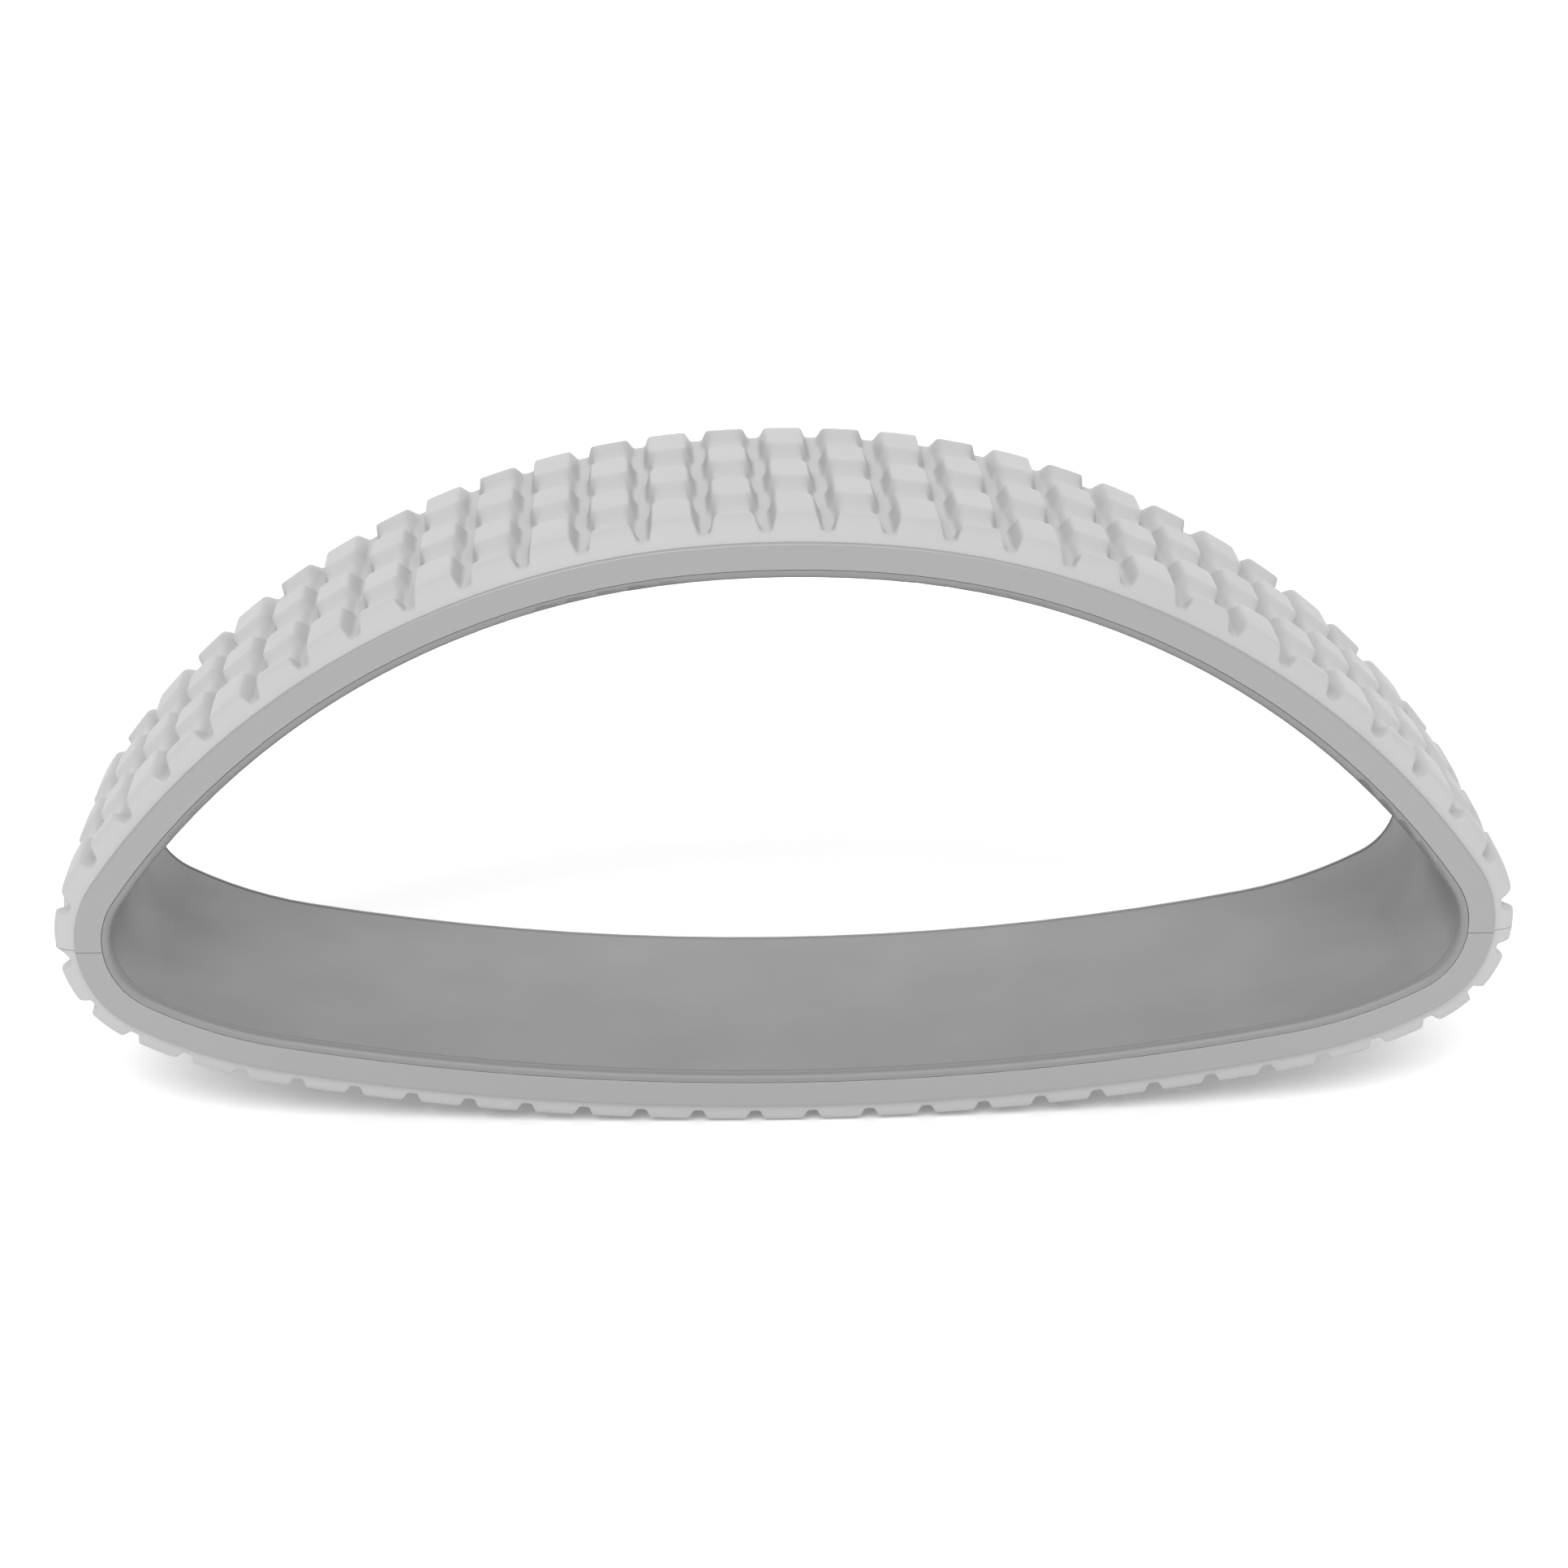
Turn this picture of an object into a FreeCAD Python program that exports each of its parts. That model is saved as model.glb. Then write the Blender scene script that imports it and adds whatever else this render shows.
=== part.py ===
"""D-shaped yoga hoop: a closed inner hoop, two outer half shells, their treads and the splice keys.

The hoop's side view is a D of tangent arcs, worked out from the radii of its inner face. Every
section is drawn by its depth across the hoop and by its height outward from that inner face, and is
swept along the D. Sizes are in millimetres and degrees. +Z is up, +X runs along the longest side, and
the origin is under the middle of the base, on the surface that the hoop stands on.
"""
import FreeCAD, Part
import math
import os

import Sketcher

Vector = FreeCAD.Vector

SIZES = {
    # side view of the inner face: radius of each arc, and the heading at which it ends
    "crown_radius": 323,
    "crown_deg": 5.1,
    "arch_radius": 238,
    "arch_deg": 55,
    "end_radius": 21.3,
    "end_deg": 151.5,
    "shoulder_radius": 134.3,
    "shoulder_deg": 169.3,
    "seam_drop": 2.8,
    "seam_gap": 0.16,
    "seam_overrun_deg": 12,
    # inner hoop
    "rim_depth": 110,
    "hoop_wall": 2.7,
    "lip_round": 2.0,
    "crease_round": 0.2,
    "shadow_setback": 2.6,
    "shadow_width": 1.2,
    "shadow_depth": 0.4,
    "locating_wall": 1.5,
    "locating_height": 2.0,
    # outer shells
    "fit_gap": 0.1,
    "rim_height": 11.1,
    "side_wall": 3.0,
    "skin": 2.6,
    "shoulder_round": 0.9,
    "rail_spacing": 36,
    "rail_wall": 1.8,
    # treads
    "tread_inset": 1.5,
    "tread_recess": 1.5,
    "tread_floor": 1.5,
    "apron_width": 4.8,
    "block_height": 5.95,
    "block_root": 1.6,
    "rib_top": 10.8,
    "rib_foot": 17.6,
    "notch_depth": 2.7,
    "bar_top": 9.2,
    "bar_foot": 18.4,
    "block_top": 16.6,
    "block_run": 14,
    "edge_setback": 0.1,
    "edge_lean": 4.3,
    "edge_top": 4.15,
    "tread_shift": 2.2,
    "arch_rib_count": 15,
    "base_rib_count": 14,
    # splice keys
    "key_half_deg": 26,
}

# worked out from the driving sizes: the rest of the D, the levels of the layers and the tread's layout
DERIVED = {
    "end_x": "Sizes.crown_radius * sin(Sizes.crown_deg * 1deg)"
             " + Sizes.arch_radius * (sin(Sizes.arch_deg * 1deg) - sin(Sizes.crown_deg * 1deg))"
             " - Sizes.end_radius * sin(Sizes.arch_deg * 1deg)",
    "apex_rise": "Sizes.crown_radius * (1 - cos(Sizes.crown_deg * 1deg))"
                 " + Sizes.arch_radius * (cos(Sizes.crown_deg * 1deg) - cos(Sizes.arch_deg * 1deg))"
                 " + Sizes.end_radius * cos(Sizes.arch_deg * 1deg)",
    "base_radius": "(end_x + Sizes.end_radius * sin(Sizes.end_deg * 1deg)"
                   " + Sizes.shoulder_radius * (sin(Sizes.shoulder_deg * 1deg)"
                   " - sin(Sizes.end_deg * 1deg))) / sin(Sizes.shoulder_deg * 1deg)",
    "base_drop": "-Sizes.end_radius * cos(Sizes.end_deg * 1deg)"
                 " + Sizes.shoulder_radius * (cos(Sizes.end_deg * 1deg) - cos(Sizes.shoulder_deg * 1deg))"
                 " + base_radius * (1 + cos(Sizes.shoulder_deg * 1deg))",
    "half_depth": "Sizes.rim_depth / 2",
    "wall_face": "half_depth - Sizes.side_wall",
    "locating_face": "wall_face - Sizes.fit_gap",
    "tread_half": "half_depth - Sizes.tread_inset",
    "block_face": "tread_half - Sizes.edge_setback",
    "edge_crest": "block_face - Sizes.edge_lean",
    "row_pitch": "2 / 3 * (edge_crest - Sizes.edge_top + Sizes.block_top / 2)",
    "bar_height": "Sizes.block_height - Sizes.notch_depth",
    "bar_reach": "edge_crest - Sizes.edge_top / 2",
    "shell_foot": "Sizes.hoop_wall + Sizes.fit_gap",
    "skin_outside": "Sizes.rim_height - Sizes.tread_recess",
    "skin_inside": "skin_outside - Sizes.skin",
    "tread_back": "skin_outside + Sizes.fit_gap",
    "tread_ground": "Sizes.rim_height + Sizes.tread_floor",
    "block_crest": "tread_ground + Sizes.block_height",
    "rail_inside": "(Sizes.rail_spacing - Sizes.rail_wall) / 2",
    "rail_outside": "(Sizes.rail_spacing + Sizes.rail_wall) / 2",
    "arch_cut": "Sizes.seam_gap / 2 - Sizes.seam_drop",
    "base_cut": "-Sizes.seam_gap / 2 - Sizes.seam_drop",
    "cut_reach": "end_x + Sizes.end_radius + 2 * block_crest",
    "seam_height": "base_drop + block_crest",
}


def add_sheet(name, cells):
    """A sheet with one named cell on each row."""
    sheet = doc.addObject("Spreadsheet::Sheet", name)
    for row, (alias, content) in enumerate(cells.items(), start=1):
        sheet.set("A%d" % row, alias)
        sheet.set("B%d" % row, content)
        sheet.setAlias("B%d" % row, alias)
    doc.recompute()
    return sheet


def size(name):
    """The present value of a driving or derived size."""
    sheet = sizes if name in SIZES else derived
    return float(getattr(sheet, name))


def named(expression):
    """Spell out which sheet each name of a short expression is in."""
    words = []
    for word in expression.split():
        bare = word.strip("()-")
        sheet = "Sizes." if bare in SIZES else "Derived." if bare in DERIVED else ""
        words.append(word.replace(bare, sheet + bare) if sheet else word)
    return " ".join(words)


# Drawing

def new_body(label):
    """A body whose sketches lie about the seam's height, lifted so that the base stands on zero."""
    body = doc.addObject("PartDesign::Body", label)
    body.Label = label
    body.setExpression("Placement.Base.z", "Derived.seam_height")
    return body


def origin_plane(body, role):
    return next(item for item in body.Origin.OriginFeatures if item.Role == role)


def new_sketch(body, name, role):
    sketch = body.newObject("Sketcher::SketchObject", name)
    sketch.AttachmentSupport = [(origin_plane(body, role), "")]
    sketch.MapMode = "FlatFace"
    return sketch


def pin(sketch, edge, end, corner):
    """Tie one end of an edge to a corner given by two expressions."""
    for kind, expression in zip(("DistanceX", "DistanceY"), corner):
        value = float(sketch.evalExpression(expression))
        index = sketch.addConstraint(Sketcher.Constraint(kind, -1, 1, edge, end, value))
        sketch.setExpression("Constraints[%d]" % index, expression)


def draw(sketch, corners, rounds, closed):
    """Lines and arcs from corner to corner. rounds gives the radius of the edge that leaves a corner:
    a round on the left of the way along it if the radius is in a tuple, and on the right if not."""
    points = [Vector(*(float(sketch.evalExpression(part)) for part in corner)) for corner in corners]
    last = len(points) if closed else len(points) - 1
    starts = []
    for number in range(last):
        start, stop = points[number], points[(number + 1) % len(points)]
        radius = rounds.get(number)
        if radius is None:
            edge = Part.LineSegment(start, stop)
        else:
            left = isinstance(radius, tuple)
            value = float(sketch.evalExpression(radius[0] if left else radius))
            chord = stop - start
            rise = value - math.sqrt(value ** 2 - chord.Length ** 2 / 4)
            across = Vector(chord.y, -chord.x).normalize() * (-rise if left else rise)
            edge = Part.Arc(start, (start + stop) / 2 + across, stop)
        sketch.addGeometry(edge)
        near, far = (sketch.getPoint(number, end).distanceToPoint(start) for end in (1, 2))
        starts.append(1 if near < far else 2)
    for number in range(last):
        pin(sketch, number, starts[number], corners[number])
        following = (number + 1) % len(points)
        if following < last:
            sketch.addConstraint(
                Sketcher.Constraint("Coincident", number, 3 - starts[number], following, starts[following]))
        else:
            pin(sketch, number, 3 - starts[number], corners[following])
        radius = rounds.get(number)
        if radius is not None:
            expression = radius[0] if isinstance(radius, tuple) else radius
            value = float(sketch.evalExpression(expression))
            index = sketch.addConstraint(Sketcher.Constraint("Radius", number, value))
            sketch.setExpression("Constraints[%d]" % index, expression)


# The D's path, as corners between its arcs, from the apex down the right side to the base's middle

def on_end(heading):
    """Where the end arc has a heading, which is zero at the top and turns clockwise."""
    return ("Derived.end_x + Sizes.end_radius * sin(%s)" % heading, "Sizes.end_radius * cos(%s)" % heading)


APEX = ("0", "Derived.apex_rise")
CROWN_END = (
    "Sizes.crown_radius * sin(Sizes.crown_deg * 1deg)",
    "Derived.apex_rise - Sizes.crown_radius * (1 - cos(Sizes.crown_deg * 1deg))",
)
ARCH_END = on_end("Sizes.arch_deg * 1deg")
PAST_SEAM = on_end("90deg + Sizes.seam_overrun_deg * 1deg")
WIDEST = on_end("90deg")
END_END = on_end("Sizes.end_deg * 1deg")
SHOULDER_END = (
    "Derived.base_radius * sin(Sizes.shoulder_deg * 1deg)",
    "Derived.base_radius * (1 + cos(Sizes.shoulder_deg * 1deg)) - Derived.base_drop",
)
MIDDLE = ("0", "-Derived.base_drop")

HOOP_PATH = [APEX, CROWN_END, ARCH_END, END_END, SHOULDER_END, MIDDLE]
HOOP_RADII = ["crown_radius", "arch_radius", "end_radius", "shoulder_radius", "base_radius"]
ARCH_PATH = [APEX, CROWN_END, ARCH_END, PAST_SEAM]
ARCH_RADII = ["crown_radius", "arch_radius", "end_radius"]
BASE_PATH = [MIDDLE, SHOULDER_END, END_END, WIDEST]
BASE_RADII = ["base_radius", "shoulder_radius", "end_radius"]


def sweep(label, half_section, path, radii):
    """A body whose section, drawn over the path's start, runs along the path and is mirrored to the left.

    half_section lists the section's corners on the rear half, from the inner face round to the outer one,
    as depth, height and, where a rounded corner starts, its radius.
    """
    body = new_body(label)
    over_apex = path[0] is APEX
    level = "%s + (%s)" if over_apex else "%s - (%s)"
    corners, rounds = [], {}
    rear = [(named(depth), named(height), radius) for depth, height, radius in half_section]
    for depth, height, radius in rear:
        if radius:
            rounds[len(corners)] = "Sizes." + radius
        corners.append((depth, level % (path[0][1], height)))
    for index in range(len(rear) - 1, -1, -1):
        depth, height, _ = rear[index]
        if index and rear[index - 1][2]:
            rounds[len(corners)] = "Sizes." + rear[index - 1][2]
        corners.append(("-(%s)" % depth, level % (path[0][1], height)))
    if not over_apex:
        rounds = {number: (radius,) for number, radius in rounds.items()}
    section = new_sketch(body, label + "_section", "YZ_Plane")
    draw(section, corners, rounds, closed=True)

    way = new_sketch(body, label + "_path", "XZ_Plane")
    arcs = {number: named(radius) for number, radius in enumerate(radii)}
    if over_apex:
        arcs = {number: (radius,) for number, radius in arcs.items()}
    draw(way, path, arcs, closed=False)
    doc.recompute()

    pipe = body.newObject("PartDesign::AdditivePipe", label + "_sweep")
    pipe.Profile = section
    pipe.Spine = (way, ["Edge%d" % (number + 1) for number in range(len(radii))])
    mirror = body.newObject("PartDesign::Mirrored", label + "_mirror")
    mirror.Originals = [pipe]
    mirror.MirrorPlane = (origin_plane(body, "YZ_Plane"), [""])
    body.Tip = mirror
    return body


def cut_square(body, label, path):
    """Cut a swept half hoop level at its two seams, which lie a little below the widest point."""
    over_apex = path[0] is APEX
    edge = "Derived.arch_cut" if over_apex else "Derived.base_cut"
    far = "%s %s Sizes.end_radius" % (edge, "-" if over_apex else "+")
    cut = new_sketch(body, label + "_seam", "XZ_Plane")
    draw(cut, [
        ("-Derived.cut_reach", edge), ("Derived.cut_reach", edge),
        ("Derived.cut_reach", far), ("-Derived.cut_reach", far),
    ], {}, closed=True)
    doc.recompute()
    pocket = body.newObject("PartDesign::Pocket", label + "_cut")
    pocket.Profile = cut
    pocket.Type = "ThroughAll"
    pocket.Midplane = True
    body.Tip = pocket
    return body


# The swept pieces

def make_inner_hoop():
    """The closed inner band: lipped edges, a shadow groove behind each lip, ribs that place the shells."""
    return sweep("inner_hoop", [
        ("half_depth - shadow_setback - shadow_width", "0", None),
        ("half_depth - shadow_setback - shadow_width / 2", "shadow_depth", None),
        ("half_depth - shadow_setback", "0", None),
        ("half_depth - lip_round", "0", "lip_round"),
        ("half_depth", "lip_round", None),
        ("half_depth", "hoop_wall - crease_round", "crease_round"),
        ("half_depth - crease_round", "hoop_wall", None),
        ("locating_face", "hoop_wall", None),
        ("locating_face", "hoop_wall + locating_height", None),
        ("locating_face - locating_wall", "hoop_wall + locating_height", None),
        ("locating_face - locating_wall", "hoop_wall", None),
    ], HOOP_PATH, HOOP_RADII)


def make_shell(label, path, radii):
    """Half of the outer hoop: two side walls with the rim faces, a skin, and two rails on the hoop."""
    shell = sweep(label, [
        ("rail_inside", "skin_inside", None),
        ("rail_inside", "shell_foot", None),
        ("rail_outside", "shell_foot", None),
        ("rail_outside", "skin_inside", None),
        ("wall_face", "skin_inside", None),
        ("wall_face", "shell_foot", None),
        ("half_depth - crease_round", "shell_foot", "crease_round"),
        ("half_depth", "shell_foot + crease_round", None),
        ("half_depth", "rim_height - shoulder_round", "shoulder_round"),
        ("half_depth - shoulder_round", "rim_height", None),
        ("tread_half + fit_gap", "rim_height", None),
        ("tread_half + fit_gap", "skin_outside", None),
    ], path, radii)
    return cut_square(shell, label, path)


# The treads

# each kind of block by its width at the top, its width at the foot and its height above the ground
KINDS = {
    "plate": ("rib_top", "rib_foot", "block_height"),
    "bar": ("bar_top", "bar_foot", "bar_height"),
}


def make_block(label, kind, inner_top, outer_top, inner_foot, outer_foot):
    """A plate or bar of a rib as a wedge: X along the tread, Y outward, Z towards the front face."""
    block = doc.addObject("Part::Wedge", label)
    top, foot, height = KINDS[kind]
    limits = {
        "Xmin": "-%s / 2" % foot, "Xmax": "%s / 2" % foot, "X2min": "-%s / 2" % top, "X2max": "%s / 2" % top,
        "Ymin": "-block_root", "Ymax": height,
        "Zmin": inner_foot, "Zmax": outer_foot, "Z2min": inner_top, "Z2max": outer_top,
    }
    for name, expression in limits.items():
        setattr(block, name, float(block.evalExpression(named(expression))))
    for name, expression in limits.items():
        block.setExpression(name, named(expression))
    return block


def arc_run(path_names, along_arch):
    """The arcs of half a tread, each with its centre, radius and the headings where it starts and ends."""
    base_x, base_z = 0, size("base_radius") - size("base_drop")
    run = size("shoulder_radius") - size("base_radius")
    centres = {
        "crown_radius": (0, size("apex_rise") - size("crown_radius")),
        "end_radius": (size("end_x"), 0),
        "base_radius": (base_x, base_z),
    }
    reach = size("arch_radius") - size("end_radius")
    turn = math.radians(size("arch_deg"))
    centres["arch_radius"] = (size("end_x") - reach * math.sin(turn), -reach * math.cos(turn))
    turn = math.radians(size("shoulder_deg"))
    centres["shoulder_radius"] = (base_x - run * math.sin(turn), base_z - run * math.cos(turn))
    if along_arch:
        headings = [0, size("crown_deg"), size("arch_deg"), 90]
    else:
        headings = [180, size("shoulder_deg"), size("end_deg"), 90]
    return [
        (centres[name], size(name), math.radians(first), math.radians(second))
        for name, first, second in zip(path_names, headings, headings[1:])
    ]


def walk(arcs, level, distance):
    """The heading and the place on the tread's ground, after a distance along the arcs at a level."""
    for centre, radius, first, second in arcs:
        length = (radius + level) * abs(second - first)
        if distance <= length or second == arcs[-1][3]:
            break
        distance -= length
    way = 1 if second > first else -1
    heading = first + way * distance / (radius + level)
    reach = radius + size("tread_ground")
    return heading, Vector(centre[0] + reach * math.sin(heading), 0, centre[1] + reach * math.cos(heading))


def place_block(block, heading, place, depth, face):
    """A copy of a block on the tread's ground, turned to the heading, with its Z to the given face."""
    turn = FreeCAD.Rotation(Vector(0, 1, 0), math.degrees(heading))
    turn = turn.multiply(FreeCAD.Rotation(Vector(1, 0, 0), 90 * face))
    if face < 0:
        turn = turn.multiply(FreeCAD.Rotation(Vector(0, 0, 1), 180))
    copy = block.Shape.copy()
    copy.Placement = FreeCAD.Placement(place + Vector(0, depth, 0), turn)
    return copy


def make_tread(label, path, radii, blocks):
    """A strip in the shell's recess with ribs across it, cut level at the two seams.

    Each rib is a bar with raised plates, which are staggered from rib to rib. The strip falls to the rim
    along its edges. The whole pattern sits a little clockwise of the hoop's own middle.
    """
    strip = sweep(label + "_strip", [
        ("tread_half", "tread_back", None),
        ("tread_half", "rim_height", None),
        ("tread_half - apron_width", "tread_ground", None),
    ], path, radii)
    doc.recompute()
    bar, middle, long_edge, short_edge = blocks
    over_apex = path[0] is APEX
    rib_count = int(size("arch_rib_count" if over_apex else "base_rib_count"))
    shift = size("tread_shift") if over_apex else -size("tread_shift")
    arcs = arc_run(radii, over_apex)
    crest = size("block_crest")
    pitch = sum((radius + crest) * abs(second - first) for _, radius, first, second in arcs) / rib_count
    copies = []
    for rib in range(-rib_count, rib_count + 1):
        distance = rib * pitch + shift
        heading, place = walk(arcs, crest, abs(distance))
        if distance < 0:
            heading, place = -heading, Vector(-place.x, place.y, place.z)
        even = rib % 2 == 0
        copies.append(place_block(bar, heading, place, 0, 1))
        for face in (1, -1):
            copies.append(place_block(long_edge if even else short_edge, heading, place, 0, face))
        for depth in (0,) if even else (-size("row_pitch") / 2, size("row_pitch") / 2):
            copies.append(place_block(middle, heading, place, depth, 1))
    lift = Vector(0, 0, size("seam_height"))
    local = strip.Shape.copy()
    local.translate(-lift)
    whole = local.fuse(copies)
    span = 2 * size("cut_reach")
    keep = Part.makeBox(span, size("rim_depth"), span)
    low = size("arch_cut") if over_apex else size("base_cut") - span
    keep.translate(Vector(-span / 2, -size("half_depth"), low))
    tread = doc.addObject("Part::Feature", label)
    tread.Label = label
    tread.Shape = whole.common(keep).Solids[0]
    tread.Placement = FreeCAD.Placement(lift, FreeCAD.Rotation())
    return tread


# The splice keys

def make_key(label, side, face):
    """A curved bar across one seam, between the inner hoop and the shells' skin, beside a rail."""
    body = new_body(label)
    sketch = new_sketch(body, label + "_section", "XY_Plane")
    sign = "" if side > 0 else "-"
    turn = "" if face > 0 else "-"
    radial = ("Derived.shell_foot", "Derived.skin_inside - Sizes.fit_gap")
    across = (
        "Derived.rail_outside + Sizes.fit_gap",
        "Derived.locating_face - Sizes.locating_wall - Sizes.fit_gap",
    )
    reach = sign + "(Derived.end_x + Sizes.end_radius + %s)"
    corners = [
        (reach % radial[first], "%s(%s)" % (turn, across[second]))
        for first, second in ((0, 0), (1, 0), (1, 1), (0, 1))
    ]
    draw(sketch, corners, {}, closed=True)
    axis = sketch.addGeometry(Part.LineSegment(
        Vector(side * size("end_x"), 0), Vector(side * size("end_x"), size("half_depth"))), True)
    pin(sketch, axis, 1, ("%sDerived.end_x" % sign, "0"))
    pin(sketch, axis, 2, ("%sDerived.end_x" % sign, "Derived.half_depth"))
    doc.recompute()
    bar = body.newObject("PartDesign::Revolution", label + "_turn")
    bar.Profile = sketch
    bar.ReferenceAxis = (sketch, ["Axis0"])
    bar.Midplane = True
    bar.Angle = 2 * size("key_half_deg")
    bar.setExpression("Angle", "2 * Sizes.key_half_deg")
    return body


doc = FreeCAD.newDocument("yoga_hoop")
sizes = add_sheet("Sizes", {name: str(value) for name, value in SIZES.items()})
derived = add_sheet("Derived", {name: "=" + formula for name, formula in DERIVED.items()})

block_set = (
    make_block("rib_bar", "bar", "-bar_reach", "bar_reach", "-bar_reach", "bar_reach"),
    make_block("block_middle", "plate", "-block_top / 2", "block_top / 2",
               "-block_top / 2 - block_run", "block_top / 2 + block_run"),
    make_block("block_long_edge", "plate", "row_pitch - block_top / 2", "edge_crest",
               "row_pitch - block_top / 2 - block_run", "block_face"),
    make_block("block_short_edge", "plate", "edge_crest - edge_top", "edge_crest",
               "edge_crest - edge_top - block_run", "block_face"),
)
doc.recompute()

pieces = [
    make_inner_hoop(),
    make_shell("arch_shell", ARCH_PATH, ARCH_RADII),
    make_shell("base_shell", BASE_PATH, BASE_RADII),
    make_tread("arch_tread", ARCH_PATH, ARCH_RADII, block_set),
    make_tread("base_tread", BASE_PATH, BASE_RADII, block_set),
]
for side, side_name in ((-1, "left"), (1, "right")):
    for face, face_name in ((-1, "front"), (1, "rear")):
        pieces.append(make_key("%s_%s_key" % (side_name, face_name), side, face))
doc.recompute()

for item in doc.Objects:
    if "Invalid" in item.State or "Error" in item.State:
        raise RuntimeError("%s did not build: %s" % (item.Label, item.State))
for piece in pieces:
    if piece.Shape.isNull() or not piece.Shape.isValid() or len(piece.Shape.Solids) != 1:
        raise RuntimeError("%s is not one sound solid" % piece.Label)

os.makedirs("parts", exist_ok=True)
for piece in pieces:
    piece.Shape.exportStep("parts/%s.step" % piece.Label)
    print("%s: %.0f mm3" % (piece.Label, piece.Shape.Volume))
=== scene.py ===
"""Looks of a D-shaped yoga hoop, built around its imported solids.

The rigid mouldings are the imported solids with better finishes. The two treads are modelled here as soft
mouldings: each block has rounded edges and runs into the strip below it. Sizes in the settings are in
metres unless a name ends in _mm, and angles are in radians.
"""

import math

import bpy
import numpy as np
from bpy.props import FloatProperty, FloatVectorProperty, PointerProperty
from mathutils import Matrix, Vector


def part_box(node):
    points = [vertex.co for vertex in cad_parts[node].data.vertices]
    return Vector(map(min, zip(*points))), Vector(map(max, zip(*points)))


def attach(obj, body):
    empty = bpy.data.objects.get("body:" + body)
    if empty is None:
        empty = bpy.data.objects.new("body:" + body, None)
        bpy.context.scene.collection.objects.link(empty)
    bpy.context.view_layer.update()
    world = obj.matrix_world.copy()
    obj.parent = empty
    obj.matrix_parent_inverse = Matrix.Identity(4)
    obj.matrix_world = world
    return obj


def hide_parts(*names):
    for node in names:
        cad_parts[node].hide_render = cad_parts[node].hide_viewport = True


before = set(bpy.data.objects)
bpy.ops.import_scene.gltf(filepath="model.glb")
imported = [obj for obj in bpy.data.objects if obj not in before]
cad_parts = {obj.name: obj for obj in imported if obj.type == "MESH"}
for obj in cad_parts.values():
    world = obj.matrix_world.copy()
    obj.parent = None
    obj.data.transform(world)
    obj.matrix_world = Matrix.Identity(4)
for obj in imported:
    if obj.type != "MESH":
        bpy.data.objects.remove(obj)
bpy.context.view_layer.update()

bl_info = {
    "name": "Yoga hoop",
    "version": (1, 0, 0),
    "blender": (4, 5, 0),
    "location": "View3D > Sidebar > Yoga hoop",
    "description": "Dresses the packed solids of a D-shaped yoga hoop and sets the studio",
    "category": "Object",
}

MM = 0.001
BODY = "root"

# Side view of the hoop's inner face: radius of each arc in millimetres, and the heading at its end
CROWN_RADIUS, CROWN_TURN = 323.0, math.radians(5.1)
ARCH_RADIUS, ARCH_TURN = 238.0, math.radians(55.0)
END_RADIUS, END_TURN = 21.3, math.radians(151.5)
SHOULDER_RADIUS, SHOULDER_TURN = 134.3, math.radians(169.3)
# The seam's depth below the widest point and its width, in millimetres
SEAM_DROP, SEAM_GAP = 2.8, 0.16
# Heights of the tread's edge and of its back above the inner face, in millimetres
EDGE_HEIGHT, BACK_HEIGHT = 11.1, 9.7
# Rib pitches in each half of a tread, from its middle to the widest point
ARCH_RIBS, BASE_RIBS = 15, 14
# Fall per length out of a plate's long sides, a rib's bar and a plate's ends
FLANK_SLOPE, BAR_SLOPE, END_SLOPE = 2.7, 1.6, 0.54
# Where the groove floor starts to rise, in millimetres from the tread's middle
RISE_START = 42.0
# Where along the tread its edge starts to turn steeper and over what length, in millimetres
TURN_START, TURN_LENGTH = 120.0, 110.0

# Grid of a tread's mesh, in millimetres: lines out of a rib's middle, and the least room that is left before
# the middle of the groove and before the seam
RIB_LINES = (0.0, 2.6, 4.2, 5.0, 5.5, 5.9, 6.3, 6.8, 7.4, 8.0, 8.6)
RIB_LINE_ROOM, SEAM_LINE_ROOM = 0.2, 0.25
# Lines across half a tread: up to this depth, and from there to its edge, where they are closer together
INNER_DEPTH, INNER_LINES, OUTER_LINES = 45.0, 48, 22
# Rounds that bring the last row of the grid onto the seam's level cut
SEAM_ROUNDS = 6

# Angles in degrees above which an edge is shaded sharp
SOLID_SHARP, TREAD_SHARP = 35, 60

# Moulded finishes: size of the clouds in millimetres, range of the noise in use, spread of the roughness
CLOUD_MM = 26.0
NOISE_LOW, NOISE_HIGH = 0.3, 0.7
GLOSS_SPREAD = 0.05

# Studio: half the floor's side in metres, the camera's frame in millimetres, its shift and clipping range
FLOOR_HALF = 4.0
SENSOR_MM = 36.0
LENS_SHIFT = (0.00089, -0.00977)
CLIP_RANGE = (0.01, 50.0)
# Where the air starts and stops growing brighter, as the rearward part of a direction
GLOW_FROM, GLOW_TO = -0.3, 0.8
# Key lights: name, where each shines from, its spread in degrees and its strength
KEY_LIGHTS = (
    ("left_key", (-0.34, -1.0, 0.95), 26, 1.5),
    ("right_key", (0.28, -1.0, 0.95), 26, 1.0),
)


def linear(hex_colour):
    """An sRGB hex colour as linear red, green, blue and alpha."""
    parts = [int(hex_colour[place:place + 2], 16) / 255 for place in (1, 3, 5)]
    return [v / 12.92 if v <= 0.04045 else ((v + 0.055) / 1.055) ** 2.4 for v in parts] + [1.0]


# Settings

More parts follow.
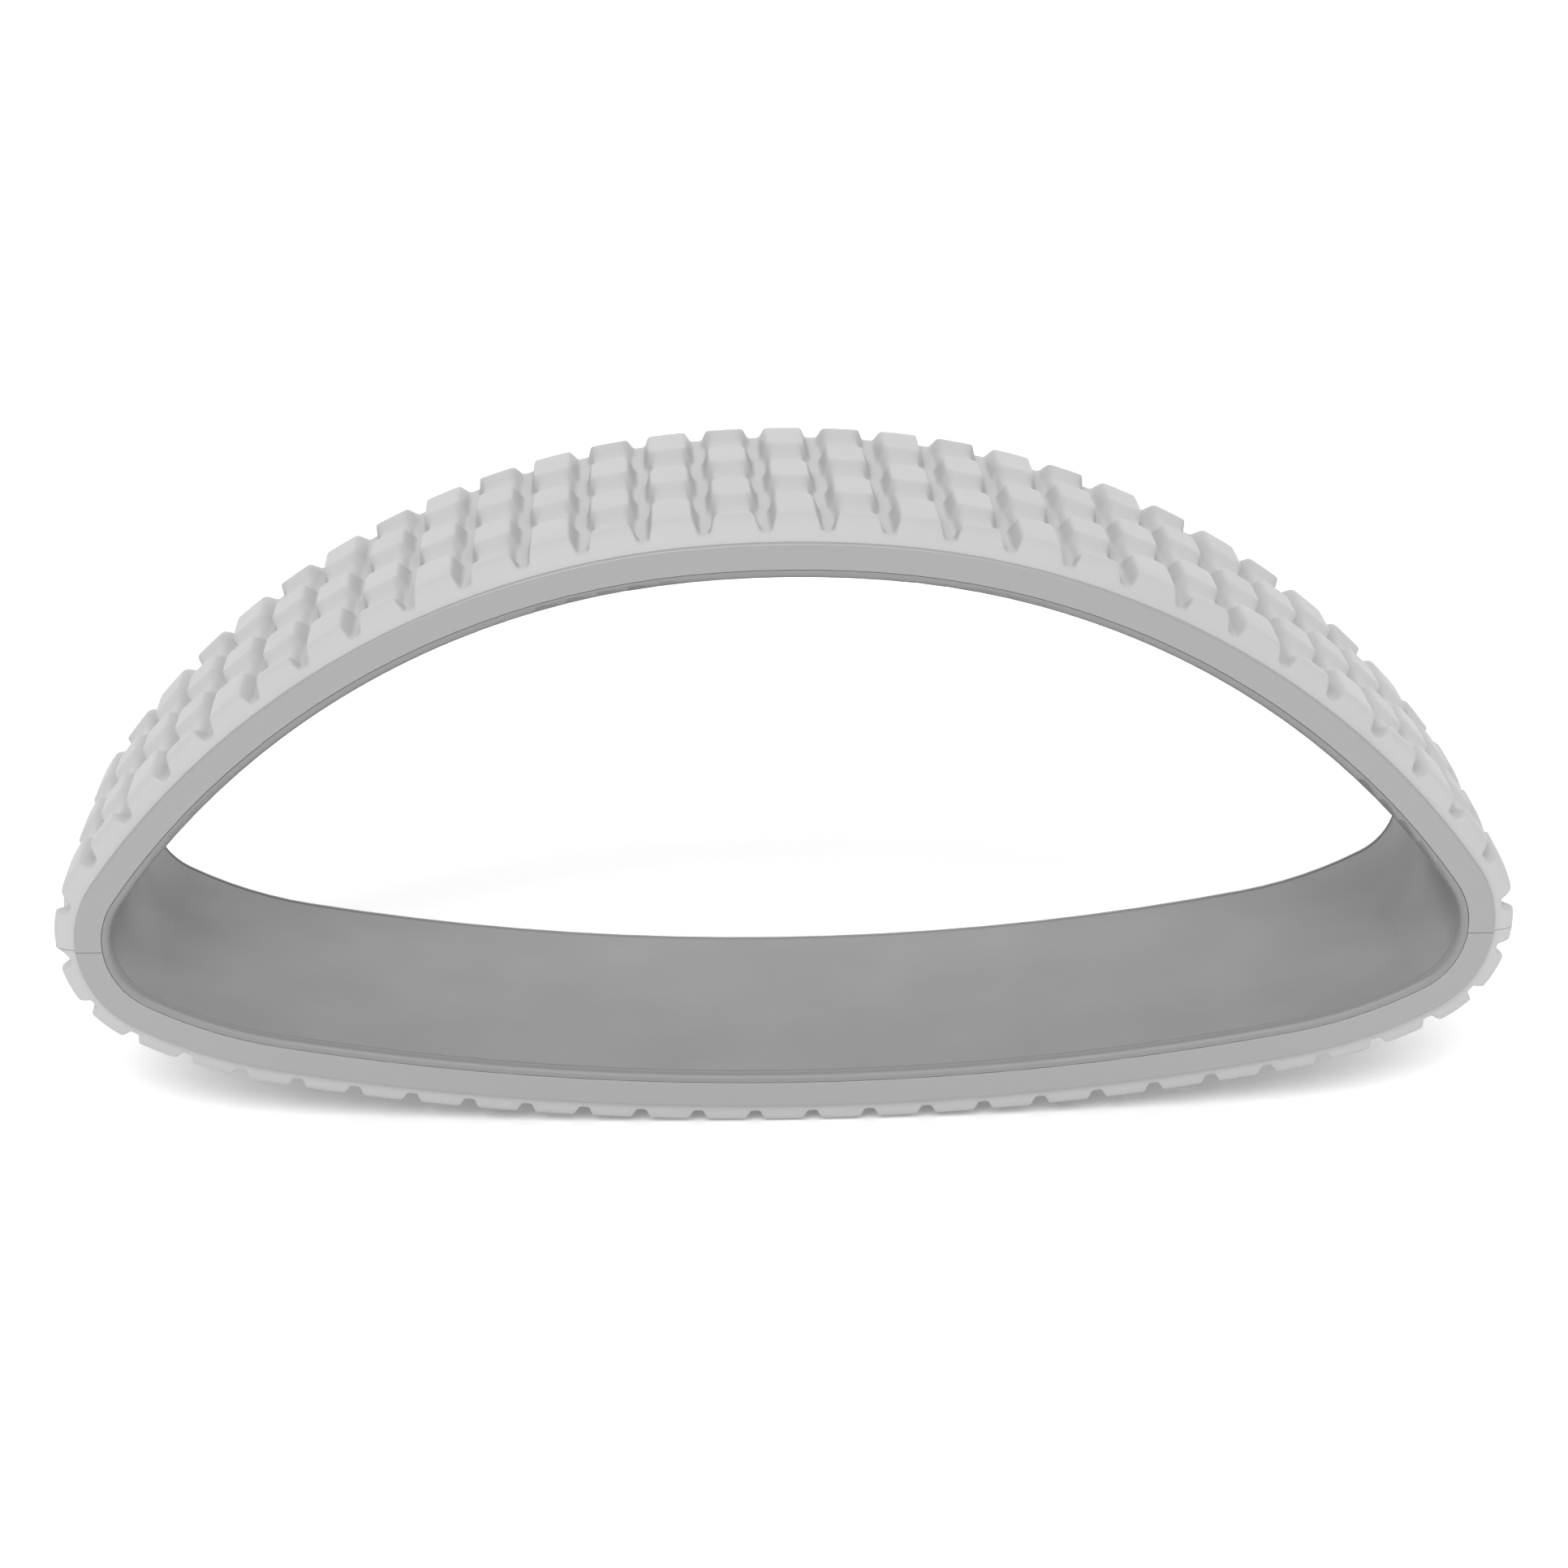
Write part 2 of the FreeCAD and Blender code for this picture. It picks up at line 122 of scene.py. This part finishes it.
class HoopTreadSettings(bpy.types.PropertyGroup):
    """Sizes of the two treads."""
    half_width: FloatProperty(
        name="Half width", description="From the middle of the tread to its edge",
        default=53.5 * MM, unit="LENGTH")
    ground: FloatProperty(
        name="Ground", description="Height of the groove floor above the hoop's inner face",
        default=12.6 * MM, unit="LENGTH")
    crest: FloatProperty(
        name="Crest", description="Height of the block tops above the hoop's inner face",
        default=18.55 * MM, unit="LENGTH")
    rib_top: FloatProperty(
        name="Rib top", description="Width of a rib's raised plates along the tread",
        default=11.4 * MM, unit="LENGTH")
    bar_top: FloatProperty(
        name="Bar top", description="Width of a rib between its plates, at the level there",
        default=9.6 * MM, unit="LENGTH")
    notch: FloatProperty(
        name="Notch", description="How far a rib lies below its plates between them",
        default=2.7 * MM, unit="LENGTH")
    plate_top: FloatProperty(
        name="Plate top", description="Length of a plate across the tread",
        default=16.6 * MM, unit="LENGTH")
    row_pitch: FloatProperty(
        name="Row pitch", description="Distance between the plates of one rib",
        default=35.5 * MM, unit="LENGTH")
    face: FloatProperty(
        name="Edge face", description="Where the slanted edge begins over the arch, from the tread's middle",
        default=46.8 * MM, unit="LENGTH")
    side_face: FloatProperty(
        name="Side face", description="Where the steeper edge begins at the sides and under the base",
        default=51.3 * MM, unit="LENGTH")
    end_rise: FloatProperty(
        name="End rise", description="How far the groove floor rises towards the tread's edges",
        default=1.5 * MM, unit="LENGTH")
    corner_round: FloatProperty(
        name="Corner round", description="Plan radius of a plate's corners",
        default=2.0 * MM, unit="LENGTH")
    edge_round: FloatProperty(
        name="Edge round", description="Softness of the edges round a plate",
        default=0.5 * MM, unit="LENGTH")
    face_round: FloatProperty(
        name="Face round", description="Softness of the bend where the slanted edge begins",
        default=1.5 * MM, unit="LENGTH")
    foot_round: FloatProperty(
        name="Foot round", description="Softness of the fillet where a rib meets the ground",
        default=0.6 * MM, unit="LENGTH")
    skew: FloatProperty(
        name="Skew", description="How far the pattern runs to the right from the rear edge to the front edge",
        default=1.6 * MM, unit="LENGTH")
    shift: FloatProperty(
        name="Shift", description="How far the pattern sits clockwise of the hoop's middle",
        default=2.2 * MM, unit="LENGTH")


class HoopFinishSettings(bpy.types.PropertyGroup):
    """Colours of the finishes."""
    tread: FloatVectorProperty(
        name="Tread", description="Light grey elastomer", subtype="COLOR", size=4,
        min=0, max=1, default=linear("#AAAAAA"))
    shell: FloatVectorProperty(
        name="Shell", description="Mid grey moulded rim", subtype="COLOR", size=4,
        min=0, max=1, default=linear("#8E8E8E"))
    # The inner band's grey is set darker than the shell's grey of the same ABS: painted shade inside the hoop
    hoop: FloatVectorProperty(
        name="Inner hoop", description="Mid grey inner band", subtype="COLOR", size=4,
        min=0, max=1, default=linear("#7C7C7C"))
    key: FloatVectorProperty(
        name="Splice key", description="Dark nylon inside the section", subtype="COLOR", size=4,
        min=0, max=1, default=linear("#303132"))
    floor: FloatVectorProperty(
        name="Floor", description="Pale studio floor", subtype="COLOR", size=4,
        min=0, max=1, default=linear("#FAFAFA"))


class HoopStageSettings(bpy.types.PropertyGroup):
    """The studio: camera and lights."""
    camera_distance: FloatProperty(
        name="Camera distance", description="From the camera to the point it looks at",
        default=1.2102, unit="LENGTH")
    camera_pitch: FloatProperty(
        name="Camera pitch", description="How far the camera looks down",
        default=0.362028, unit="ROTATION")
    camera_yaw: FloatProperty(
        name="Camera yaw", description="How far the camera looks to the right of straight ahead",
        default=0.030973, unit="ROTATION")
    camera_roll: FloatProperty(
        name="Camera roll", description="How far the camera leans", default=0.002156, unit="ROTATION")
    camera_height: FloatProperty(
        name="Aim height", description="Height of the point the camera looks at",
        default=0.09921, unit="LENGTH")
    lens: FloatProperty(
        name="Lens", description="Focal length in millimetres on a 36 mm frame", default=87.92, min=10)
    front_glow: FloatProperty(
        name="Front glow", description="Brightness of the air in front of the hoop", default=0.5, min=0)
    table_glow: FloatProperty(
        name="Table glow", description="Light that comes up through the table", default=0.14, min=0)
    rear_glow: FloatProperty(
        name="Rear glow", description="Brightness of the lit backdrop behind the hoop", default=1.45, min=0)


# Making meshes

def add_piece(name, vertices, faces, material, stands_for):
    """A smooth mesh piece in millimetres that stands for a solid and moves with the hoop."""
    mesh = bpy.data.meshes.new(name)
    mesh.from_pydata((np.asarray(vertices) * MM).tolist(), [], faces)
    mesh.validate()
    mesh.polygons.foreach_set("use_smooth", [True] * len(mesh.polygons))
    mesh.materials.append(material)
    piece = bpy.data.objects.new(name, mesh)
    bpy.context.scene.collection.objects.link(piece)
    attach(piece, BODY)
    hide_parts(stands_for)
    return piece


# The D's side view

def half_arcs(over_arch):
    """The arcs of the right half as (centre, radius, first heading, last heading), outward from the middle.

    A heading is zero at the top and turns clockwise. Heights are from the widest point of the hoop.
    """
    rise, reach = CROWN_RADIUS - ARCH_RADIUS, ARCH_RADIUS - END_RADIUS
    end_x = rise * math.sin(CROWN_TURN) + reach * math.sin(ARCH_TURN)
    if over_arch:
        arch_at = (end_x - reach * math.sin(ARCH_TURN), -reach * math.cos(ARCH_TURN))
        crown_at = (0.0, arch_at[1] - rise * math.cos(CROWN_TURN))
        return [
            (crown_at, CROWN_RADIUS, 0.0, CROWN_TURN),
            (arch_at, ARCH_RADIUS, CROWN_TURN, ARCH_TURN),
            ((end_x, 0.0), END_RADIUS, ARCH_TURN, math.pi / 2),
        ]
    reach = SHOULDER_RADIUS - END_RADIUS
    shoulder_at = (end_x - reach * math.sin(END_TURN), -reach * math.cos(END_TURN))
    base_radius = SHOULDER_RADIUS + shoulder_at[0] / math.sin(SHOULDER_TURN)
    run = base_radius - SHOULDER_RADIUS
    base_at = (0.0, shoulder_at[1] - run * math.cos(SHOULDER_TURN))
    return [
        (base_at, base_radius, math.pi, SHOULDER_TURN),
        (shoulder_at, SHOULDER_RADIUS, SHOULDER_TURN, END_TURN),
        ((end_x, 0.0), END_RADIUS, END_TURN, math.pi / 2),
    ]


class Way:
    """The line that a tread follows, by the distance along it at the level of its block tops."""

    def __init__(self, over_arch, level):
        self.arcs = half_arcs(over_arch)
        self.level = level
        self.turn = 1.0 if over_arch else -1.0
        lengths = [(radius + level) * abs(last - first) for _, radius, first, last in self.arcs]
        self.starts = np.concatenate(([0.0], np.cumsum(lengths)))
        self.half_length = float(self.starts[-1])

    def at(self, distance, height):
        """Points in the side view at signed distances and heights, arrays of one shape."""
        away = np.abs(distance)
        which = np.clip(np.searchsorted(self.starts, away, side="right") - 1, 0, len(self.arcs) - 1)
        centre = np.array([arc[0] for arc in self.arcs])[which]
        radius = np.array([arc[1] for arc in self.arcs])[which]
        first = np.array([arc[2] for arc in self.arcs])[which]
        heading = first + self.turn * (away - self.starts[which]) / (radius + self.level)
        x = centre[..., 0] + (radius + height) * np.sin(heading)
        z = centre[..., 1] + (radius + height) * np.cos(heading)
        return np.where(distance < 0, -x, x), z

    def at_seam(self, height, cut):
        """The distance along the way where a height above the inner face meets the level cut of the seam."""
        heading = np.arccos(cut / (END_RADIUS + height))
        first = self.arcs[-1][2]
        return self.starts[-2] + (heading - first) * self.turn * (END_RADIUS + self.level)


# The tread's surface

def ramp(distance, softness):
    """Zero inside and distance outside, with a rounded bend between them."""
    return (distance + np.sqrt(distance ** 2 + softness ** 2)) / 2


class TreadSurface:
    """Height of a tread above the hoop's inner face, in millimetres, over its length and depth."""

    def __init__(self, sizes, pitch, shift, over_arch):
        self.ground, self.crest = sizes.ground / MM, sizes.crest / MM
        self.half_width, self.side_face = sizes.half_width / MM, sizes.side_face / MM
        self.top_face = sizes.face / MM if over_arch else self.side_face
        self.rib_half, self.plate_half = sizes.rib_top / MM / 2, sizes.plate_top / MM / 2
        self.bar_half, self.notch = sizes.bar_top / MM / 2, sizes.notch / MM
        self.row_pitch, self.corner = sizes.row_pitch / MM, sizes.corner_round / MM
        self.edge, self.foot = sizes.edge_round / MM, sizes.foot_round / MM
        self.face_round, self.end_rise = sizes.face_round / MM, sizes.end_rise / MM
        self.pitch, self.shift = pitch, shift
        self.lean = sizes.skew / MM / (2 * self.half_width)

    def fall(self, along, across):
        """How far a plate's side has fallen at offsets from its middle."""
        out_along = np.maximum(along - self.rib_half + self.corner, 0.0)
        out_across = np.maximum(across - self.plate_half + self.corner, 0.0)
        out = np.hypot(out_along, out_across)
        share = np.divide(out_along, out, out=np.ones_like(out), where=out > 0)
        steep = np.hypot(FLANK_SLOPE * share, END_SLOPE * np.sqrt(1 - share ** 2))
        inside = np.maximum(along - self.rib_half, across - self.plate_half)
        gap = np.where(out > 0, out - self.corner, np.minimum(inside, -self.corner))
        return steep * ramp(gap, self.edge)

    def height(self, distance, depth):
        """The tread's height at distances along it and depths across it, arrays of one shape."""
        deep = np.abs(depth)
        place = (distance - self.shift + self.lean * depth) / self.pitch
        rib = np.floor(place + 0.5)
        relief = self.crest - self.ground
        top = np.full(deep.shape, -relief)
        # The nearest ribs. An even rib has a plate on the tread's middle, an odd one has a plate on each side
        # of it, and the outermost plates run out to the edge
        for step in (-1, 0, 1):
            along = np.abs(place - rib - step) * self.pitch
            odd = np.mod(rib + step, 2.0)
            bar = relief - self.notch - BAR_SLOPE * ramp(along - self.bar_half, self.edge)
            inner = np.abs(deep - odd / 2 * self.row_pitch)
            outer = np.maximum((1 + odd / 2) * self.row_pitch - deep, 0.0)
            plate = relief - np.minimum(self.fall(along, inner), self.fall(along, outer))
            top = np.maximum(top, bar + ramp(plate - bar, self.edge))
        # The groove floor, which rises towards the tread's edges
        floor = self.end_rise * np.clip((deep - RISE_START) / (self.half_width - RISE_START), 0.0, 1.0) ** 2
        top = self.ground + floor + ramp(top - floor, self.foot)
        # The slanted edge, which turns steeper from the arch to the sides
        side = np.clip((np.abs(distance) - TURN_START) / TURN_LENGTH, 0.0, 1.0)
        bend = self.top_face + (self.side_face - self.top_face) * side * side * (3 - 2 * side)
        steep = (self.crest - EDGE_HEIGHT) / (self.half_width - bend)
        face = self.crest - steep * ramp(deep - bend, self.face_round)
        return np.minimum(np.maximum(top - ramp(top - face, self.edge), EDGE_HEIGHT), self.crest)


def along_lines(surface, half_length):
    """Distances of the grid's lines along a tread, closer together where a block's edge is."""
    half = surface.pitch / 2
    steps = np.array(RIB_LINES)
    steps = np.append(steps[steps < half - RIB_LINE_ROOM], half)
    one = np.concatenate((-steps[:0:-1], steps[:-1]))
    count = int(half_length // surface.pitch) + 2
    lines = (np.arange(-count, count + 1)[:, None] * surface.pitch + one[None, :]).ravel() + surface.shift
    return np.unique(np.round(lines, 5))


def across_lines(surface):
    """Depths of the grid's lines across a tread."""
    inner = np.linspace(0.0, INNER_DEPTH, INNER_LINES)
    outer = np.linspace(INNER_DEPTH, surface.half_width, OUTER_LINES)[1:]
    half = np.concatenate((inner, outer))
    return np.concatenate((-half[:0:-1], half))


def make_tread(name, node, over_arch, ribs, sizes, material, waist_height):
    """A closed mesh of one tread, with its pattern above and a plain back, cut level at both seams.

    The waist is the hoop's widest point, and its height is the one above the floor in millimetres.
    """
    way = Way(over_arch, sizes.crest / MM)
    shift = sizes.shift / MM * (1 if over_arch else -1)
    surface = TreadSurface(sizes, way.half_length / ribs, shift, over_arch)
    cut = -SEAM_DROP + (SEAM_GAP / 2 if over_arch else -SEAM_GAP / 2)
    ends = [float(way.at_seam(np.array(level), cut)) for level in (BACK_HEIGHT, surface.crest)]
    reach = min(ends) - SEAM_LINE_ROOM - abs(surface.lean) * surface.half_width
    lines = along_lines(surface, max(ends))
    lines = lines[np.abs(lines) < reach]
    depths = across_lines(surface)
    rows = len(depths)

    along = np.concatenate(([0.0], lines, [0.0]))
    grid_depth = np.repeat(depths[None, :], len(along), axis=0)
    grid_along = np.repeat(along[:, None], rows, axis=1) - surface.lean * grid_depth
    for place, side in ((0, -1.0), (-1, 1.0)):
        height = np.full(rows, surface.crest)
        for _ in range(SEAM_ROUNDS):
            grid_along[place] = side * way.at_seam(height, cut)
            height = surface.height(grid_along[place], depths)
    height = surface.height(grid_along, grid_depth)
    x, z = way.at(grid_along, height)
    top = np.stack((x, grid_depth, z + waist_height), axis=-1).reshape(-1, 3)

    back_along = along.copy()
    back_along[0], back_along[-1] = -ends[0], ends[0]
    x, z = way.at(back_along, np.full(len(along), BACK_HEIGHT))
    edges = [
        np.stack((x, np.full(len(along), depth), z + waist_height), axis=-1) for depth in depths[[0, -1]]]
    vertices = np.concatenate((top, edges[0], edges[1]))

    front = len(top)
    rear = front + len(along)
    faces = []
    for i in range(len(along) - 1):
        here, there = i * rows, (i + 1) * rows
        faces += [(here + j, there + j, there + j + 1, here + j + 1) for j in range(rows - 1)]
        faces.append((front + i, front + i + 1, there, here))
        faces.append((here + rows - 1, there + rows - 1, rear + i + 1, rear + i))
        faces.append((rear + i, rear + i + 1, front + i + 1, front + i))
    end = len(along) - 1
    last = end * rows
    faces.append((front,) + tuple(range(rows)) + (rear,))
    faces.append((rear + end,) + tuple(range(last + rows - 1, last - 1, -1)) + (front + end,))
    if not over_arch:
        faces = [face[::-1] for face in faces]
    piece = add_piece(name, vertices, faces, material, node)
    piece.data.set_sharp_from_angle(angle=math.radians(TREAD_SHARP))


# Finishes

def add_node(tree, kind, settings=None, links=None):
    """A node with its properties or input values set and its inputs linked."""
    node = tree.nodes.new(kind)
    for name, value in (settings or {}).items():
        if isinstance(name, str) and hasattr(node, name):
            setattr(node, name, value)
        else:
            node.inputs[name].default_value = value
    for name, socket in (links or {}).items():
        tree.links.new(socket, node.inputs[name])
    return node


def new_finish(name):
    """An empty material and its node tree, with the output node alone."""
    material = bpy.data.materials.new(name)
    material.use_nodes = True
    tree = material.node_tree
    tree.nodes.clear()
    return material, tree, tree.nodes.new("ShaderNodeOutputMaterial")


def per_metre(millimetres):
    """Noise scale whose features are a number of millimetres across."""
    return 1.0 / (millimetres * MM)


def moulded_finish(name, colour, roughness, ior, grain_mm, grain_depth_mm, mottle):
    """A moulded surface: mottled colour, uneven gloss and a fine grain."""
    material, tree, output = new_finish(name)
    place = add_node(tree, "ShaderNodeTexCoord").outputs["Object"]
    cloud = add_node(
        tree, "ShaderNodeTexNoise", {"Scale": per_metre(CLOUD_MM), "Detail": 3.0}, {"Vector": place})
    dark, light = ([c * (1 + sign * mottle) for c in colour[:3]] + [1.0] for sign in (-1, 1))
    tone = add_node(
        tree, "ShaderNodeMix", {"data_type": "RGBA", 6: dark, 7: light}, {0: cloud.outputs["Fac"]})
    grain = add_node(
        tree, "ShaderNodeTexNoise", {"Scale": per_metre(grain_mm), "Detail": 2.0}, {"Vector": place})
    gloss = add_node(
        tree, "ShaderNodeMapRange",
        {"From Min": NOISE_LOW, "From Max": NOISE_HIGH,
         "To Min": roughness - GLOSS_SPREAD, "To Max": roughness + GLOSS_SPREAD},
        {"Value": cloud.outputs["Fac"]})
    bump = add_node(
        tree, "ShaderNodeBump", {"Strength": 1.0, "Distance": grain_depth_mm * MM},
        {"Height": grain.outputs["Fac"]})
    shader = add_node(
        tree, "ShaderNodeBsdfPrincipled", {"IOR": ior},
        {"Base Color": tone.outputs[2], "Roughness": gloss.outputs["Result"],
         "Normal": bump.outputs["Normal"]})
    tree.links.new(shader.outputs["BSDF"], output.inputs["Surface"])
    return material


def dress(node, material):
    """A solid that stays: smooth shading up to an angle, and a finish."""
    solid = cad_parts[node]
    solid.data.materials.clear()
    solid.data.materials.append(material)
    solid.data.polygons.foreach_set("use_smooth", [True] * len(solid.data.polygons))
    solid.data.set_sharp_from_angle(angle=math.radians(SOLID_SHARP))


# Operators

class HOOP_OT_inner(bpy.types.Operator):
    """Finish the closed inner hoop"""
    bl_idname = "hoop.inner"
    bl_label = "Inner hoop"

    def execute(self, context):
        # Satin ABS: an even mid grey with a soft sheen, from a finely etched mould. The etching is too fine
        # to show, so its grain is drawn coarser
        # Its grey is set darker than the shells' grey of the same ABS: painted shade inside the hoop
        finish = moulded_finish(
            "satin_abs_hoop_painted_shade", context.scene.hoop_finish.hoop,
            roughness=0.5, ior=1.53, grain_mm=0.9, grain_depth_mm=0.012, mottle=0.02)
        dress("inner_hoop", finish)
        return {"FINISHED"}


class HOOP_OT_shells(bpy.types.Operator):
    """Finish the two outer half shells"""
    bl_idname = "hoop.shells"
    bl_label = "Half shells"

    def execute(self, context):
        # Satin ABS from its own mould, with the same grain as the hoop and a little glossier. It is lighter
        # than the hoop only because the hoop's grey is painted darker as shade
        finish = moulded_finish(
            "satin_abs_shell", context.scene.hoop_finish.shell,
            roughness=0.34, ior=1.53, grain_mm=0.9, grain_depth_mm=0.012, mottle=0.02)
        for node in ("arch_shell", "base_shell"):
            dress(node, finish)
        return {"FINISHED"}


class HOOP_OT_treads(bpy.types.Operator):
    """Model the two soft treads with their staggered blocks"""
    bl_idname = "hoop.treads"
    bl_label = "Treads"

    def execute(self, context):
        sizes = context.scene.hoop_tread
        # Matt TPE: pale, with a weak soft sheen and a skin that is a little uneven from moulding. Its grain
        # is drawn coarser than the real one, so that it shows
        finish = moulded_finish(
            "matt_tpe_tread", context.scene.hoop_finish.tread,
            roughness=0.5, ior=1.5, grain_mm=1.3, grain_depth_mm=0.02, mottle=0.025)
        # The waist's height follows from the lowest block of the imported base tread
        low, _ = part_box("base_tread")
        base = half_arcs(False)[0]
        waist_height = sizes.crest / MM + low.z / MM + base[1] - base[0][1]
        make_tread("arch_tread_blocks", "arch_tread", True, ARCH_RIBS, sizes, finish, waist_height)
        make_tread("base_tread_blocks", "base_tread", False, BASE_RIBS, sizes, finish, waist_height)
        return {"FINISHED"}


class HOOP_OT_keys(bpy.types.Operator):
    """Finish the four splice keys inside the section"""
    bl_idname = "hoop.keys"
    bl_label = "Splice keys"

    def execute(self, context):
        # Glass-filled nylon: dark, satin and mottled by its fibres, which are drawn coarser than they are
        finish = moulded_finish(
            "glass_filled_nylon", context.scene.hoop_finish.key,
            roughness=0.5, ior=1.53, grain_mm=1.5, grain_depth_mm=0.02, mottle=0.1)
        for side in ("left", "right"):
            for face in ("front", "rear"):
                dress("%s_%s_key" % (side, face), finish)
        return {"FINISHED"}


class HOOP_OT_stage(bpy.types.Operator):
    """Set the floor, the lights and the camera"""
    bl_idname = "hoop.stage"
    bl_label = "Studio"

    def execute(self, context):
        scene = context.scene
        settings = scene.hoop_stage
        corners = [(x * FLOOR_HALF, y * FLOOR_HALF, 0) for x, y in ((-1, -1), (1, -1), (1, 1), (-1, 1))]
        mesh = bpy.data.meshes.new("studio_floor")
        mesh.from_pydata(corners, [], [(0, 1, 2, 3)])
        floor = bpy.data.objects.new("studio_floor", mesh)
        scene.collection.objects.link(floor)
        # Matt paper on a lit table: white, with no shine
        material, tree, output = new_finish("matt_paper")
        paper = add_node(
            tree, "ShaderNodeBsdfPrincipled",
            {"Base Color": list(scene.hoop_finish.floor), "Roughness": 0.9, "Specular IOR Level": 0.0,
             "Emission Color": (1, 1, 1, 1), "Emission Strength": settings.table_glow})
        tree.links.new(paper.outputs["BSDF"], output.inputs["Surface"])
        mesh.materials.append(material)

        world = bpy.data.worlds.new("studio_air")
        world.use_nodes = True
        air = world.node_tree
        direction = add_node(air, "ShaderNodeTexCoord").outputs["Generated"]
        parts = add_node(air, "ShaderNodeSeparateXYZ", links={"Vector": direction})
        glow = add_node(
            air, "ShaderNodeMapRange",
            {"From Min": GLOW_FROM, "From Max": GLOW_TO,
             "To Min": settings.front_glow, "To Max": settings.rear_glow},
            {"Value": parts.outputs["Y"]})
        air.nodes["Background"].inputs["Color"].default_value = (1, 1, 1, 1)
        air.links.new(glow.outputs["Result"], air.nodes["Background"].inputs["Strength"])
        scene.world = world
        for name, place, spread, power in KEY_LIGHTS:
            light = bpy.data.lights.new(name, "SUN")
            light.angle, light.energy = math.radians(spread), power
            lamp = bpy.data.objects.new(name, light)
            lamp.location = place
            lamp.rotation_euler = (-Vector(place)).to_track_quat("-Z", "Y").to_euler()
            scene.collection.objects.link(lamp)

        pitch, yaw, roll = settings.camera_pitch, settings.camera_yaw, settings.camera_roll
        ahead = Vector((math.sin(yaw) * math.cos(pitch), math.cos(yaw) * math.cos(pitch), -math.sin(pitch)))
        level = Vector((math.cos(yaw), -math.sin(yaw), 0))
        down = ahead.cross(level)
        right = math.cos(roll) * level + math.sin(roll) * down
        below = -math.sin(roll) * level + math.cos(roll) * down
        lens = bpy.data.cameras.new("camera")
        lens.sensor_width, lens.lens = SENSOR_MM, settings.lens
        lens.shift_x, lens.shift_y = LENS_SHIFT
        lens.clip_start, lens.clip_end = CLIP_RANGE
        camera = bpy.data.objects.new("camera", lens)
        turned = Matrix((right, -below, -ahead)).transposed()
        aim = Vector((0, 0, settings.camera_height))
        camera.matrix_world = Matrix.Translation(aim - ahead * settings.camera_distance) @ turned.to_4x4()
        scene.collection.objects.link(camera)
        scene.camera = camera
        scene.view_settings.view_transform = "Standard"
        return {"FINISHED"}


class HOOP_PT_panel(bpy.types.Panel):
    """Sizes, colours and steps of the yoga hoop"""
    bl_idname = "HOOP_PT_panel"
    bl_label = "Yoga hoop"
    bl_space_type = "VIEW_3D"
    bl_region_type = "UI"
    bl_category = "Yoga hoop"

    def draw(self, context):
        for group in (context.scene.hoop_tread, context.scene.hoop_finish, context.scene.hoop_stage):
            box = self.layout.box()
            for name in group.__annotations__:
                box.prop(group, name)
        for step in STEPS:
            self.layout.operator(step.bl_idname)


STEPS = (HOOP_OT_inner, HOOP_OT_shells, HOOP_OT_treads, HOOP_OT_keys, HOOP_OT_stage)
GROUPS = (
    ("hoop_tread", HoopTreadSettings),
    ("hoop_finish", HoopFinishSettings),
    ("hoop_stage", HoopStageSettings),
)


def register():
    """Add the settings, the steps and the panel."""
    for name, group in GROUPS:
        bpy.utils.register_class(group)
        setattr(bpy.types.Scene, name, PointerProperty(type=group))
    for step in STEPS + (HOOP_PT_panel,):
        bpy.utils.register_class(step)


def unregister():
    """Take the panel, the steps and the settings away again."""
    for step in (HOOP_PT_panel,) + STEPS[::-1]:
        bpy.utils.unregister_class(step)
    for name, group in GROUPS[::-1]:
        delattr(bpy.types.Scene, name)
        bpy.utils.unregister_class(group)


def main():
    """Run every step in order."""
    register()
    bpy.ops.hoop.inner()
    bpy.ops.hoop.shells()
    bpy.ops.hoop.treads()
    bpy.ops.hoop.keys()
    bpy.ops.hoop.stage()


if __name__ == "__main__":
    main()
